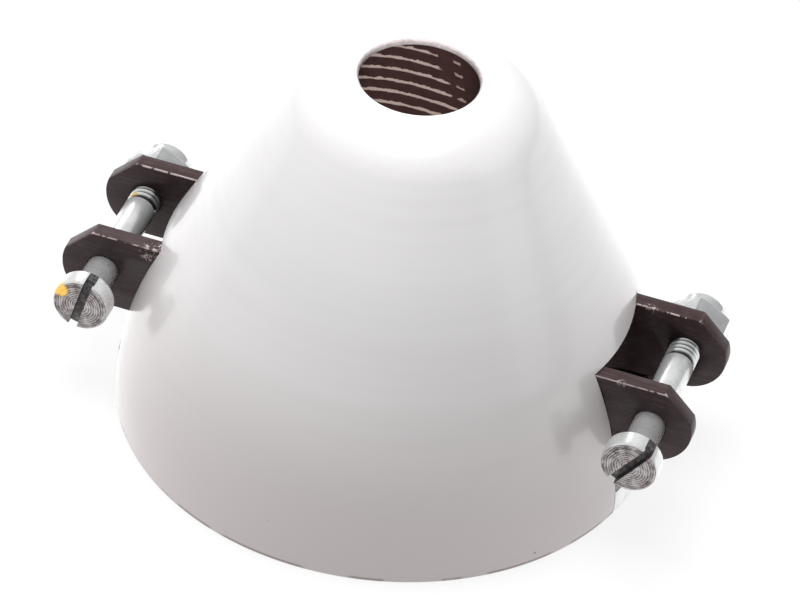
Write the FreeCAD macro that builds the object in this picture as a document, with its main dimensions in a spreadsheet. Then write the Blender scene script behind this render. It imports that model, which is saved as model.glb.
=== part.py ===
import FreeCAD, Part
import math
import os
import re
import Sketcher

# Folding-propeller spinner for a model aircraft, nose up.
# Row frame: origin on the shaft axis at the rear face, +Z to the nose, arms of
# the blade yoke along X, heads of the pivot screws towards -Y. Millimetres.

SIZES = {
    # Cone: a thin moulded shell, one arc, one straight flank and a nose radius
    "base_dia": 42.0,
    "flank_radius": 31.3,
    "flank_angle": 27.7,
    "nose_radius": 5.3,
    "nose_hole_dia": 9.1,
    "crown_width": 0.69,
    "lip_chamfer": 0.25,
    "wall": 0.6,
    "cutout_gap": 0.1,
    # Blade yoke: a milled bar with a clevis at each end and a turned foot
    "arm_width": 10.6,
    "blade_gap": 8.0,
    "blade_root_depth": 8.05,
    "pivot_overhang": 1.05,
    "pivot_height": 9.42,
    "ear_radius": 3.33,
    "ear_flat": 0.95,
    "ear_chamfer_angle": 45.0,
    "pivot_hole_dia": 2.6,
    "foot_dia": 20.0,
    "foot_height": 4.5,
    "spigot_dia": 10.4,
    "spigot_relief": 0.4,
    # Back plate: a turned disc with a lug for each cut-out of the cone
    "plate_thick": 2.0,
    "plate_fit": 0.08,
    "vent_dia": 5.0,
    "vent_count": 4,
    "spigot_fit": 0.03,
    # Screws that hold the plate to the yoke
    "plate_screw_circle": 15.4,
    "plate_screw_dia": 2.0,
    "plate_screw_length": 5.0,
    "plate_screw_head_dia": 3.8,
    "plate_screw_slot": 0.5,
    "plate_screw_slot_depth": 0.45,
    "plate_screw_clearance": 0.1,
    "thread_gap": 0.03,
    "tap_allowance": 0.5,
    # Collet: a split taper with a threaded stud, drawn forward by its nut
    "shaft_dia": 5.0,
    "shaft_depth": 10.5,
    "taper_rear_dia": 8.4,
    "taper_front_dia": 6.8,
    "taper_length": 11.0,
    "taper_gap": 0.02,
    "slit_width": 0.6,
    "slit_length": 9.5,
    "stud_dia": 6.0,
    "stud_clearance": 0.2,
    "stud_chamfer": 0.5,
    "stud_reach": 1.0,
    "washer_dia": 11.0,
    "washer_thick": 1.6,
    "collet_nut_flats": 10.0,
    "collet_nut_height": 5.0,
    "nut_chamfer_angle": 30.0,
    "nut_corner_room": 0.2,
    # Pivot screws: slotted cheese heads
    "screw_dia": 2.5,
    "screw_length": 18.0,
    "screw_tip_chamfer": 0.35,
    "head_dia": 4.5,
    "head_height": 1.6,
    "head_chamfer": 0.35,
    "slot_width": 0.7,
    "slot_depth": 0.7,
    "right_stand_off": 3.7,
    "left_stand_off": 3.2,
    "right_slot_angle": 54.0,
    "left_slot_angle": 76.0,
    # Lock nuts on the pivot screws: a hexagon, a collar and a plastic ring
    "lock_nut_flats": 5.0,
    "lock_nut_hex_height": 2.3,
    "lock_nut_height": 3.8,
    "collar_dia": 4.5,
    "collar_chamfer": 0.5,
    "ring_dia": 3.6,
    "ring_height": 1.1,
    "ring_fit": 0.02,
    "screw_play": 0.05,
}

# Heights and radii that several pieces share, written once as expressions
PIVOT_REACH = "(base_dia / 2 + pivot_overhang)"
GAP_FLOOR_CENTRE = f"({PIVOT_REACH} - blade_root_depth + blade_gap / 2)"
GAP_MOUTH = f"({PIVOT_REACH} + 2 * ear_radius)"
ARM_TOP = "(pivot_height + ear_radius)"
FLANK_CENTRE = "(base_dia / 2 - flank_radius)"
INNER_AT_PLATE = f"({FLANK_CENTRE} + sqrt((flank_radius - wall) ^ 2 - plate_thick ^ 2))"
OUTER_AT_PLATE = f"({FLANK_CENTRE} + sqrt(flank_radius ^ 2 - plate_thick ^ 2))"
TAPER_SLOPE = "((taper_rear_dia - taper_front_dia) / 2 / taper_length)"
STUD_TOP = f"({ARM_TOP} + washer_thick + collet_nut_height + stud_reach)"
VENT_REACH = f"((foot_dia / 2 + {INNER_AT_PLATE}) / 2)"

SIDES = {"left": -1, "right": 1}

doc = FreeCAD.newDocument("folding_propeller_spinner")


def make_sheet():
    """Write every driving size into a spreadsheet cell that bears its name."""
    cells = doc.addObject("Spreadsheet::Sheet", "sizes")
    for row, (name, value) in enumerate(SIZES.items(), start=1):
        cells.set(f"A{row}", name)
        cells.set(f"B{row}", str(value))
        cells.setAlias(f"B{row}", name)
    doc.recompute()
    return cells


sheet = make_sheet()


def value_of(text):
    """Work out an expression of size names, in millimetres or degrees."""
    return float(sheet.evalExpression(text))


def linked(text):
    """Point each size name of an expression at its cell in the sheet."""
    return re.sub(r"[a-z_]+", lambda m: "sizes." + m[0] if m[0] in SIZES else m[0], text)


def bind(feature, prop, text):
    """Set a property of a feature from an expression of size names."""
    feature.setExpression(prop, linked(text))


class Drawing:
    """A sketch on one of its body's origin planes, constrained from the sheet."""

    START, END, CENTRE = range(1, 4)
    X_AXIS, Y_AXIS = range(-1, -3, -1)

    def __init__(self, body, name, plane, height=None):
        """Attach the sketch to a plane, raised along its normal if a height is given."""
        self.sketch = body.newObject("Sketcher::SketchObject", name)
        origin_plane = next(o for o in body.Origin.OriginFeatures if o.Role == plane)
        self.sketch.AttachmentSupport = [(origin_plane, "")]
        self.sketch.MapMode = "FlatFace"
        if height is not None:
            bind(self.sketch, "AttachmentOffset.Base.z", height)

    def line(self, start, end):
        """Draw a straight edge between two points given in millimetres."""
        points = [FreeCAD.Vector(*point, 0) for point in (start, end)]
        return self.sketch.addGeometry(Part.LineSegment(*points), False)

    def arc(self, centre, radius, start_angle, end_angle):
        """Draw an arc, anticlockwise, between two angles in radians."""
        circle = Part.Circle(FreeCAD.Vector(*centre, 0), FreeCAD.Vector(0, 0, 1), radius)
        return self.sketch.addGeometry(Part.ArcOfCircle(circle, start_angle, end_angle), False)

    def circle(self, x, y, diameter):
        """Draw a circle whose centre and diameter are expressions."""
        centre = FreeCAD.Vector(value_of(x), value_of(y), 0)
        shape = Part.Circle(centre, FreeCAD.Vector(0, 0, 1), value_of(diameter) / 2)
        edge = self.sketch.addGeometry(shape, False)
        self.measure("Diameter", (edge,), diameter)
        self.place(edge, self.CENTRE, x, y)
        return edge

    def rule(self, kind, *places):
        """Add a constraint that has no size."""
        self.sketch.addConstraint(Sketcher.Constraint(kind, *places))

    def measure(self, kind, places, text):
        """Add a constraint whose size is an expression."""
        number = value_of(text)
        if kind == "Angle":
            number = math.radians(number)
            text = f"({text}) * 1 deg"
        index = self.sketch.addConstraint(Sketcher.Constraint(kind, *places, number))
        self.sketch.setExpression(f"Constraints[{index}]", linked(text))

    def place(self, edge, end, x, y):
        """Fix one point of an edge at two coordinates; "0" means on the axis."""
        for kind, text, axis in (("DistanceX", x, self.Y_AXIS), ("DistanceY", y, self.X_AXIS)):
            if text == "0":
                self.rule("PointOnObject", edge, end, axis)
            elif text is not None:
                self.measure(kind, (edge, end), text)

    def outline(self, corners):
        """Draw a closed polygon through corners given as pairs of expressions."""
        points = [(value_of(x), value_of(y)) for x, y in corners]
        edges = [self.line(p, q) for p, q in zip(points, points[1:] + points[:1])]
        for edge, following in zip(edges, edges[1:] + edges[:1]):
            self.rule("Coincident", edge, self.END, following, self.START)
        for edge, (x, y) in zip(edges, corners):
            self.place(edge, self.START, x, y)
        return self

    def rectangle(self, left, right, low, high):
        """Draw a rectangle between four expressions."""
        return self.outline([(left, low), (right, low), (right, high), (left, high)])


def new_body(node):
    """Start a body whose label names its node."""
    body = doc.addObject("PartDesign::Body", node)
    body.Label = node
    return body


def add_feature(body, kind, name, drawing=None, **settings):
    """Add a PartDesign feature to a body and set its plain properties."""
    feature = body.newObject("PartDesign::" + kind, name)
    if drawing is not None:
        feature.Profile = drawing.sketch
        drawing.sketch.Visibility = False
    for prop, value in settings.items():
        setattr(feature, prop, value)
    return feature


def pad(body, name, drawing, length, **settings):
    """Raise a sketch by a length that is an expression."""
    feature = add_feature(body, "Pad", name, drawing, **settings)
    bind(feature, "Length", length)
    return feature


def cut_through(body, name, drawing):
    """Cut a sketch right through a body, both ways from its plane."""
    return add_feature(body, "Pocket", name, drawing, Type="ThroughAll", Midplane=True)


def cut_upward(body, name, drawing, depth):
    """Cut a sketch to a depth on the side that its normal points to."""
    feature = add_feature(body, "Pocket", name, drawing, Reversed=True)
    bind(feature, "Length", depth)
    return feature


def turn(body, name, drawing):
    """Revolve a sketch round its vertical axis."""
    return add_feature(body, "Revolution", name, drawing,
                       ReferenceAxis=(drawing.sketch, ["V_Axis"]))


def turn_away(body, name, drawing):
    """Cut a sketch that is revolved round its vertical axis."""
    return add_feature(body, "Groove", name, drawing,
                       ReferenceAxis=(drawing.sketch, ["V_Axis"]))


def repeat_round(body, name, originals, count, angle):
    """Repeat features round the body's Z axis and make the result the tip."""
    pattern = add_feature(body, "PolarPattern", name)
    pattern.Originals = originals
    pattern.Axis = (originals[0].Profile[0], ["N_Axis"])
    bind(pattern, "Occurrences", count)
    pattern.Angle = angle
    body.Tip = pattern
    return pattern


def hexagon(drawing, flats):
    """Draw a hexagon with two of its corners on the sketch's Y axis."""
    corner = f"({flats}) / sqrt(3)"
    half = f"({flats}) / 2"
    return drawing.outline([
        (half, f"-{corner} / 2"), (half, f"{corner} / 2"), ("0", corner),
        (f"-{half}", f"{corner} / 2"), (f"-{half}", f"-{corner} / 2"), ("0", f"-{corner}"),
    ])


def break_corners(body, name, flats, height):
    """Turn the corners of a hexagon off at its upper face."""
    reach = f"({flats} / sqrt(3) + nut_corner_room)"
    drop = f"(({reach} - {flats} / 2) * tan(nut_chamfer_angle * 1 deg))"
    ring = Drawing(body, name + "_section", "XZ_Plane")
    ring.outline([(f"{flats} / 2", height), (reach, height), (reach, f"{height} - {drop}")])
    return turn_away(body, name, ring)


def make_cone():
    """One moulded shell: arc flank, straight flank, rounded nose, open front."""
    body = new_body("spinner_cone")
    wall = value_of("wall")
    angle = math.radians(value_of("flank_angle"))
    flank_radius = value_of("flank_radius")
    nose_radius = value_of("nose_radius")
    hole = value_of("nose_hole_dia / 2")
    crown_edge = value_of("nose_hole_dia / 2 + crown_width")
    chamfer = value_of("lip_chamfer")
    half_turn = math.pi / 2
    along = (-math.sin(angle), math.cos(angle))
    outward = (math.cos(angle), math.sin(angle))

    def from_point(point, direction, distance):
        return tuple(p + d * distance for p, d in zip(point, direction))

    # The straight flank runs from its arc until the nose arc reaches the crown
    flank_centre = (value_of(FLANK_CENTRE), 0.0)
    flank_end = from_point(flank_centre, outward, flank_radius)
    run = (flank_end[0] - nose_radius * outward[0] - crown_edge) / -along[0]
    nose_start = from_point(flank_end, along, run)
    nose_centre = from_point(nose_start, outward, -nose_radius)
    top = nose_centre[1] + nose_radius
    inner_nose_start = from_point(nose_start, outward, -wall)
    inner_top = (nose_centre[0], top - wall)

    section = Drawing(body, "cone_section", "XZ_Plane")
    start, end, centre = section.START, section.END, section.CENTRE
    flank = section.arc(flank_centre, flank_radius, 0.0, angle)
    side = section.line(flank_end, nose_start)
    nose = section.arc(nose_centre, nose_radius, angle, half_turn)
    crown = section.line((nose_centre[0], top), (hole + chamfer, top))
    lip = section.line((hole + chamfer, top), (hole, top - chamfer))
    bore = section.line((hole, top - chamfer), (hole, top - wall))
    ceiling = section.line((hole, top - wall), inner_top)
    inner_nose = section.line(inner_top, inner_nose_start)
    inner_side = section.line(inner_nose_start, from_point(flank_end, outward, -wall))
    inner_flank = section.arc(flank_centre, flank_radius - wall, 0.0, angle)
    rim = section.line((flank_centre[0] + flank_radius - wall, 0.0),
                       (flank_centre[0] + flank_radius, 0.0))
    wall_line = section.line(nose_start, inner_nose_start)
    section.sketch.setConstruction(wall_line, True)

    section.rule("PointOnObject", flank, centre, section.X_AXIS)
    section.rule("PointOnObject", flank, start, section.X_AXIS)
    section.measure("DistanceX", (flank, start), "base_dia / 2")
    section.measure("Radius", (flank,), "flank_radius")
    section.rule("Tangent", flank, end, side, start)
    section.measure("Angle", (side,), "90 + flank_angle")
    section.rule("Tangent", side, end, nose, start)
    section.measure("Radius", (nose,), "nose_radius")
    section.measure("DistanceX", (nose, centre), "nose_hole_dia / 2 + crown_width")
    section.rule("Tangent", nose, end, crown, start)
    section.rule("Horizontal", crown)
    section.rule("Coincident", crown, end, lip, start)
    section.measure("DistanceX", (crown, end), "nose_hole_dia / 2 + lip_chamfer")
    section.rule("Coincident", lip, end, bore, start)
    section.measure("DistanceX", (bore, start), "nose_hole_dia / 2")
    section.measure("DistanceY", (bore, start, crown, end), "lip_chamfer")
    section.rule("Vertical", bore)
    section.measure("DistanceY", (bore, end, crown, end), "wall")
    section.rule("Coincident", bore, end, ceiling, start)
    section.rule("Horizontal", ceiling)
    section.rule("Vertical", ceiling, end, nose, centre)
    section.rule("Coincident", ceiling, end, inner_nose, start)
    section.rule("Coincident", inner_nose, end, inner_side, start)
    section.rule("Coincident", wall_line, start, nose, start)
    section.rule("Coincident", wall_line, end, inner_side, start)
    section.rule("Perpendicular", wall_line, side)
    section.measure("Distance", (wall_line,), "wall")
    section.rule("Tangent", inner_side, end, inner_flank, end)
    section.rule("Coincident", inner_flank, centre, flank, centre)
    section.rule("PointOnObject", inner_flank, start, section.X_AXIS)
    section.rule("Coincident", inner_flank, start, rim, start)
    section.rule("Coincident", rim, end, flank, start)
    turn(body, "shell", section)

    opening = Drawing(body, "cutout_outline", "YZ_Plane")
    half_width = "(arm_width / 2 + cutout_gap)"
    opening.rectangle(f"-{half_width}", half_width, "0", f"{ARM_TOP} + cutout_gap")
    cut_through(body, "arm_cutouts", opening)
    return body


def make_yoke():
    """One milled bar: two clevises on a turned foot, bored for the collet."""
    body = new_body("blade_yoke")
    pivot = (value_of(PIVOT_REACH), value_of("pivot_height"))
    radius = value_of("ear_radius")
    top = pivot[1] + radius
    flat = value_of("ear_flat")
    slant = math.radians(value_of("ear_chamfer_angle"))

    # The chamfer leaves the flat top at its angle and ends on the round nose
    towards = (math.cos(slant), -math.sin(slant))
    middle = flat * towards[0] + radius * towards[1]
    length = -middle + math.sqrt(middle ** 2 - flat ** 2)
    corner = (pivot[0] + flat, top)
    foot = (corner[0] + length * towards[0], corner[1] + length * towards[1])
    foot_angle = math.atan2(foot[1] - pivot[1], foot[0] - pivot[0])

    side = Drawing(body, "arm_outline", "XZ_Plane")
    start, end, centre = side.START, side.END, side.CENTRE
    underside = side.line((0.0, pivot[1] - radius), (pivot[0], pivot[1] - radius))
    nose = side.arc(pivot, radius, -math.pi / 2, foot_angle)
    chamfer = side.line(foot, corner)
    upper = side.line(corner, (0.0, top))
    middle_edge = side.line((0.0, top), (0.0, pivot[1] - radius))
    side.rule("PointOnObject", underside, start, side.Y_AXIS)
    side.rule("Horizontal", underside)
    side.rule("Tangent", underside, end, nose, start)
    side.place(nose, centre, PIVOT_REACH, "pivot_height")
    side.measure("Radius", (nose,), "ear_radius")
    side.rule("Coincident", nose, end, chamfer, start)
    side.measure("Angle", (chamfer,), "180 - ear_chamfer_angle")
    side.place(chamfer, end, f"{PIVOT_REACH} + ear_flat", ARM_TOP)
    side.rule("Coincident", chamfer, end, upper, start)
    side.rule("Horizontal", upper)
    side.rule("PointOnObject", upper, end, side.Y_AXIS)
    side.rule("Coincident", upper, end, middle_edge, start)
    side.rule("Coincident", middle_edge, end, underside, start)
    arm = pad(body, "arm", side, "arm_width", Midplane=True)

    gap = Drawing(body, "blade_gap_outline", "XY_Plane")
    half = value_of("blade_gap / 2")
    floor_centre = (value_of(GAP_FLOOR_CENTRE), 0.0)
    mouth = value_of(GAP_MOUTH)
    near = gap.line((mouth, half), (floor_centre[0], half))
    floor = gap.arc(floor_centre, half, math.pi / 2, 3 * math.pi / 2)
    far = gap.line((floor_centre[0], -half), (mouth, -half))
    closing = gap.line((mouth, -half), (mouth, half))
    gap.rule("Horizontal", near)
    gap.rule("Horizontal", far)
    gap.rule("Tangent", near, end, floor, start)
    gap.rule("Tangent", floor, end, far, start)
    gap.place(floor, centre, GAP_FLOOR_CENTRE, "0")
    gap.measure("Radius", (floor,), "blade_gap / 2")
    gap.rule("Coincident", far, end, closing, start)
    gap.rule("Coincident", closing, end, near, start)
    gap.rule("Vertical", closing)
    gap.measure("DistanceX", (closing, start), GAP_MOUTH)
    clevis = cut_through(body, "clevis", gap)

    pivot_hole = Drawing(body, "pivot_hole_circle", "XZ_Plane")
    pivot_hole.circle(PIVOT_REACH, "pivot_height", "pivot_hole_dia")
    drilled = cut_through(body, "pivot_hole", pivot_hole)

    other_arm = add_feature(body, "Mirrored", "other_arm")
    other_arm.Originals = [arm, clevis, drilled]
    other_arm.MirrorPlane = (side.sketch, ["V_Axis"])
    body.Tip = other_arm

    foot_section = Drawing(body, "foot_section", "XZ_Plane")
    foot_section.outline([
        ("0", "spigot_relief"), ("spigot_dia / 2", "spigot_relief"),
        ("spigot_dia / 2", "plate_thick"), ("foot_dia / 2", "plate_thick"),
        ("foot_dia / 2", "plate_thick + foot_height"), ("0", "plate_thick + foot_height"),
    ])
    turn(body, "foot", foot_section)

    bore = Drawing(body, "bore_section", "XZ_Plane")
    rear = f"taper_rear_dia / 2 + taper_gap - {TAPER_SLOPE} * spigot_relief"
    front = "taper_front_dia / 2 + taper_gap"
    stud_hole = "stud_dia / 2 + stud_clearance"
    bore.outline([
        ("0", "spigot_relief"), (rear, "spigot_relief"), (front, "taper_length"),
        (stud_hole, "taper_length"), (stud_hole, ARM_TOP), ("0", ARM_TOP),
    ])
    turn_away(body, "taper_bore", bore)

    tapped = Drawing(body, "tapped_hole_circles", "XY_Plane", "plate_thick")
    for sign in ("-", ""):
        tapped.circle("0", f"{sign}plate_screw_circle / 2", "plate_screw_dia + 2 * thread_gap")
    depth = "plate_screw_length - plate_thick + tap_allowance"
    cut_upward(body, "tapped_holes", tapped, depth)
    return body


def make_back_plate():
    """One turned disc: register for the cone, two driving lugs, vents."""
    body = new_body("back_plate")
    register = Drawing(body, "register_circle", "XY_Plane")
    register.circle("0", "0", f"2 * ({INNER_AT_PLATE} - plate_fit)")
    pad(body, "disc", register, "plate_thick")

    lugs = Drawing(body, "lug_outline", "XY_Plane")
    half = value_of("arm_width / 2")
    radius = value_of(OUTER_AT_PLATE)
    swing = math.asin(half / radius)
    reach = math.sqrt(radius ** 2 - half ** 2)
    start, end, centre = lugs.START, lugs.END, lugs.CENTRE
    right = lugs.arc((0.0, 0.0), radius, -swing, swing)
    far = lugs.line((reach, half), (-reach, half))
    left = lugs.arc((0.0, 0.0), radius, math.pi - swing, math.pi + swing)
    near = lugs.line((-reach, -half), (reach, -half))
    for edge, following in ((right, far), (far, left), (left, near), (near, right)):
        lugs.rule("Coincident", edge, end, following, start)
    for edge in (right, left):
        lugs.place(edge, centre, "0", "0")
        lugs.measure("Radius", (edge,), OUTER_AT_PLATE)
    for edge, sign in ((far, ""), (near, "-")):
        lugs.rule("Horizontal", edge)
        lugs.place(edge, start, None, f"{sign}arm_width / 2")
    pad(body, "lugs", lugs, "plate_thick")

    centre_hole = Drawing(body, "centre_hole_circle", "XY_Plane")
    centre_hole.circle("0", "0", "spigot_dia + 2 * spigot_fit")
    cut_through(body, "centre_hole", centre_hole)

    half_step = "(180 / vent_count * 1 deg)"
    vent_hole = Drawing(body, "vent_circle_outline", "XY_Plane")
    vent_hole.circle(f"{VENT_REACH} * cos{half_step}", f"{VENT_REACH} * sin{half_step}",
                     "vent_dia")
    vent = cut_through(body, "vent", vent_hole)
    repeat_round(body, "vents", [vent], "vent_count", 360.0)

    doc.recompute()
    seats = Drawing(body, "screw_seat_circles", "XY_Plane")
    for sign in ("-", ""):
        seats.circle("0", f"{sign}plate_screw_circle / 2", "plate_screw_dia")
    seats.sketch.recompute()
    holes = add_feature(body, "Hole", "countersunk_holes", seats, Reversed=True)
    holes.ThreadType = "None"
    holes.DepthType = "ThroughAll"
    holes.HoleCutType = "Countersink"
    holes.HoleCutCountersinkAngle = 90.0
    bind(holes, "Diameter", "plate_screw_dia + 2 * plate_screw_clearance")
    bind(holes, "HoleCutDiameter", "plate_screw_head_dia + 2 * plate_screw_clearance")
    return body


def make_plate_screw(node, side):
    """A slotted countersunk screw, entered from the rear of the plate."""
    body = new_body(node)
    section = Drawing(body, node + "_section", "XZ_Plane")
    cone = "(plate_screw_head_dia - plate_screw_dia) / 2"
    section.outline([
        ("0", "0"), ("plate_screw_head_dia / 2", "0"), ("plate_screw_dia / 2", cone),
        ("plate_screw_dia / 2", "plate_screw_length"), ("0", "plate_screw_length"),
    ])
    turn(body, node + "_blank", section)
    driver = Drawing(body, node + "_slot_outline", "XY_Plane")
    driver.rectangle("-plate_screw_head_dia", "plate_screw_head_dia",
                     "-plate_screw_slot / 2", "plate_screw_slot / 2")
    cut_upward(body, node + "_slot", driver, "plate_screw_slot_depth")
    bind(body, "Placement.Base.y", f"{side} * plate_screw_circle / 2")
    return body


def make_collet():
    """A tapered sleeve, slit four ways, with a solid threaded stud in front."""
    body = new_body("shaft_collet")
    section = Drawing(body, "collet_section", "XZ_Plane")
    section.outline([
        ("shaft_dia / 2", "0"), ("taper_rear_dia / 2", "0"),
        ("taper_front_dia / 2", "taper_length"), ("stud_dia / 2", "taper_length"),
        ("stud_dia / 2", f"{STUD_TOP} - stud_chamfer"),
        ("stud_dia / 2 - stud_chamfer", STUD_TOP), ("0", STUD_TOP),
        ("0", "shaft_depth"), ("shaft_dia / 2", "shaft_depth"),
    ])
    turn(body, "collet_blank", section)
    for name, plane in (("slit_across", "YZ_Plane"), ("slit_along", "XZ_Plane")):
        cut = Drawing(body, name + "_outline", plane)
        cut.rectangle("-slit_width / 2", "slit_width / 2", "0", "slit_length")
        cut_through(body, name, cut)
    return body


def make_collet_washer():
    """A plain washer under the collet nut."""
    body = new_body("collet_washer")
    section = Drawing(body, "washer_section", "XZ_Plane")
    section.rectangle("stud_dia / 2 + stud_clearance", "washer_dia / 2", "0", "washer_thick")
    turn(body, "washer_blank", section)
    bind(body, "Placement.Base.z", ARM_TOP)
    return body


def make_collet_nut():
    """A plain hexagon nut, its corners turned off at the front face."""
    body = new_body("collet_nut")
    hexagon_face = hexagon(Drawing(body, "nut_hexagon", "XY_Plane"), "collet_nut_flats")
    pad(body, "nut_blank", hexagon_face, "collet_nut_height")
    break_corners(body, "front_break", "collet_nut_flats", "collet_nut_height")
    hole = Drawing(body, "nut_bore_circle", "XY_Plane")
    hole.circle("0", "0", "stud_dia + 2 * thread_gap")
    cut_through(body, "nut_bore", hole)
    bind(body, "Placement.Base.z", f"{ARM_TOP} + washer_thick")
    return body


def lay_on_pivot(body, side, distance, slot_angle="0"):
    """Lay a piece on its fork's pivot axis, its own +Z along +Y of the row."""
    across = FreeCAD.Rotation(FreeCAD.Vector(1, 0, 0), -90)
    spin = FreeCAD.Rotation(FreeCAD.Vector(0, 0, 1), -value_of(slot_angle))
    body.Placement = FreeCAD.Placement(FreeCAD.Vector(), across.multiply(spin))
    bind(body, "Placement.Base.x", f"{SIDES[side]} * {PIVOT_REACH}")
    bind(body, "Placement.Base.y", distance)
    bind(body, "Placement.Base.z", "pivot_height")


def make_pivot_screw(side):
    """A slotted cheese-head screw, standing off its ear as it was left."""
    node = f"pivot_screw_{side}"
    body = new_body(node)
    section = Drawing(body, node + "_section", "XZ_Plane")
    section.outline([
        ("0", "-head_height"), ("head_dia / 2 - head_chamfer", "-head_height"),
        ("head_dia / 2", "-head_height + head_chamfer"), ("head_dia / 2", "0"),
        ("screw_dia / 2", "0"), ("screw_dia / 2", "screw_length - screw_tip_chamfer"),
        ("screw_dia / 2 - screw_tip_chamfer", "screw_length"), ("0", "screw_length"),
    ])
    turn(body, node + "_blank", section)
    driver = Drawing(body, node + "_slot_outline", "XY_Plane", "-head_height")
    driver.rectangle("-head_dia", "head_dia", "-slot_width / 2", "slot_width / 2")
    cut_upward(body, node + "_slot", driver, "slot_depth")
    lay_on_pivot(body, side, f"-(arm_width / 2 + {side}_stand_off)", f"{side}_slot_angle")
    return body


def make_lock_nut(side):
    """A hexagon nut with a turned collar that holds a plastic ring."""
    node = f"lock_nut_{side}"
    body = new_body(node)
    hexagon_face = hexagon(Drawing(body, node + "_hexagon", "XY_Plane"), "lock_nut_flats")
    pad(body, node + "_blank", hexagon_face, "lock_nut_hex_height")

    collar = Drawing(body, node + "_collar_section", "XZ_Plane")
    collar.outline([
        ("0", "0"), ("collar_dia / 2", "0"), ("collar_dia / 2", "lock_nut_height - collar_chamfer"),
        ("collar_dia / 2 - collar_chamfer", "lock_nut_height"), ("0", "lock_nut_height"),
    ])
    turn(body, node + "_collar", collar)

    bore = Drawing(body, node + "_bore_section", "XZ_Plane")
    thread = "screw_dia / 2 + screw_play"
    seat = "lock_nut_height - ring_height"
    bore.outline([
        ("0", "0"), (thread, "0"), (thread, seat), ("ring_dia / 2 + ring_fit", seat),
        ("ring_dia / 2 + ring_fit", "lock_nut_height"), ("0", "lock_nut_height"),
    ])
    turn_away(body, node + "_bore", bore)
    lay_on_pivot(body, side, "arm_width / 2")
    return body


def make_nut_ring(side):
    """The plastic locking ring in the collar of a lock nut."""
    node = f"nut_ring_{side}"
    body = new_body(node)
    section = Drawing(body, node + "_section", "XZ_Plane")
    section.rectangle("screw_dia / 2 + screw_play", "ring_dia / 2",
                      "lock_nut_height - ring_height", "lock_nut_height")
    turn(body, node + "_blank", section)
    lay_on_pivot(body, side, "arm_width / 2")
    return body


def check_model(bodies):
    """Stop if any feature failed or any piece is not one valid solid."""
    for thing in doc.Objects:
        if {"Invalid", "Error"} & set(thing.State):
            raise RuntimeError(f"{thing.Name} failed: {thing.State}")
    for body in bodies:
        shape = body.Shape
        if shape.isNull() or not shape.isValid() or len(shape.Solids) != 1:
            raise RuntimeError(f"{body.Label} is not one valid solid")


def main():
    """Build every piece, check it and write one STEP file for each."""
    bodies = [make_cone(), make_yoke(), make_back_plate(), make_collet(),
              make_collet_washer(), make_collet_nut(),
              make_plate_screw("plate_screw_front", -1), make_plate_screw("plate_screw_rear", 1)]
    for side in SIDES:
        bodies += [make_pivot_screw(side), make_lock_nut(side), make_nut_ring(side)]
    doc.recompute()
    check_model(bodies)
    os.makedirs("parts", exist_ok=True)
    for body in bodies:
        body.Shape.exportStep(f"parts/{body.Label}.step")
        print(f"{body.Label}: {body.Shape.Volume:.2f} mm3")


main()
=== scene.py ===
"""Folding-propeller spinner: a gloss shell over a blade yoke, pivot screws and a collet."""

import logging
import math
from dataclasses import dataclass
from enum import Enum

import bpy
from mathutils import Matrix, Vector


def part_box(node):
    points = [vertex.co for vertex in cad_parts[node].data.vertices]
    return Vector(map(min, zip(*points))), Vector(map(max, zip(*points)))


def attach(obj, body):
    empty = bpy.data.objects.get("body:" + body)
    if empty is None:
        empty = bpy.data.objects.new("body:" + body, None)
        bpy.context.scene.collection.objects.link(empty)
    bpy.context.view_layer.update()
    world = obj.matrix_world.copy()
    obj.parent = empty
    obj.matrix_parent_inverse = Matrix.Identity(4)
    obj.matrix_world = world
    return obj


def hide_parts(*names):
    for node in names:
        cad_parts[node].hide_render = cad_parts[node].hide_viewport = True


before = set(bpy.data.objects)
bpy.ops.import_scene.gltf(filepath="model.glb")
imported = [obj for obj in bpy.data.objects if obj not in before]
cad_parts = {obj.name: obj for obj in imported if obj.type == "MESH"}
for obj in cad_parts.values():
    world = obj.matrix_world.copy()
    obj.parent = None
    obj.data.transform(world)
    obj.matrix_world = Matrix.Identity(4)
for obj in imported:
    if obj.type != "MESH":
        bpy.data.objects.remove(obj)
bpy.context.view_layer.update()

# Metres in a millimetre, and distances in metres at which points are one and the same.
MM = 0.001
WELD = 1e-7
SAME = 1e-6
# How far a cutter stands past what it cuts, in millimetres.
OVERSHOOT = 1.0
# How many sides round pieces have, from the pivot holes up to the shell.
PIN_SIDES, SMALL_SIDES, SCREW_SIDES, BORE_SIDES, FOOT_SIDES, RIM_SIDES = 40, 64, 72, 96, 128, 192
# Steps in a turn of a thread, and the share of its pitch that the ridge fills.
THREAD_STEPS = 40
THREAD_FIT = 0.96

Pair = tuple[float, float]
Point = tuple[float, float, float]
Colour = tuple[float, float, float, float]
Profile = list[Pair]
Spots = tuple[tuple[Point, float], ...]
Piece = bpy.types.Object
Socket = bpy.types.NodeSocket

logging.basicConfig(level=logging.INFO, format="%(message)s")
log = logging.getLogger("spinner")


class Side(Enum):
    """The two forks of the yoke, by the way that they point along X."""

    RIGHT = 1
    LEFT = -1

    @property
    def word(self) -> str:
        """The side's name as the nodes and bodies spell it."""
        return self.name.lower()


class Joining(Enum):
    """What a boolean does with its second solid."""

    CUT = "DIFFERENCE"
    FUSE = "UNION"
    KEEP_COMMON = "INTERSECT"


def in_mm(box: tuple[Vector, Vector]) -> tuple[Vector, Vector]:
    """A box's two corners in millimetres."""
    low, high = box
    return low / MM, high / MM


def hexagon(flats: float) -> Pair:
    """A hexagon's corner radius, and how far a 30 degree chamfer drops out to its corners."""
    corner = flats / math.sqrt(3)
    return corner, (corner - flats / 2) * math.tan(math.radians(30))


# ---------------------------------------------------------------- tools of the bench


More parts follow.
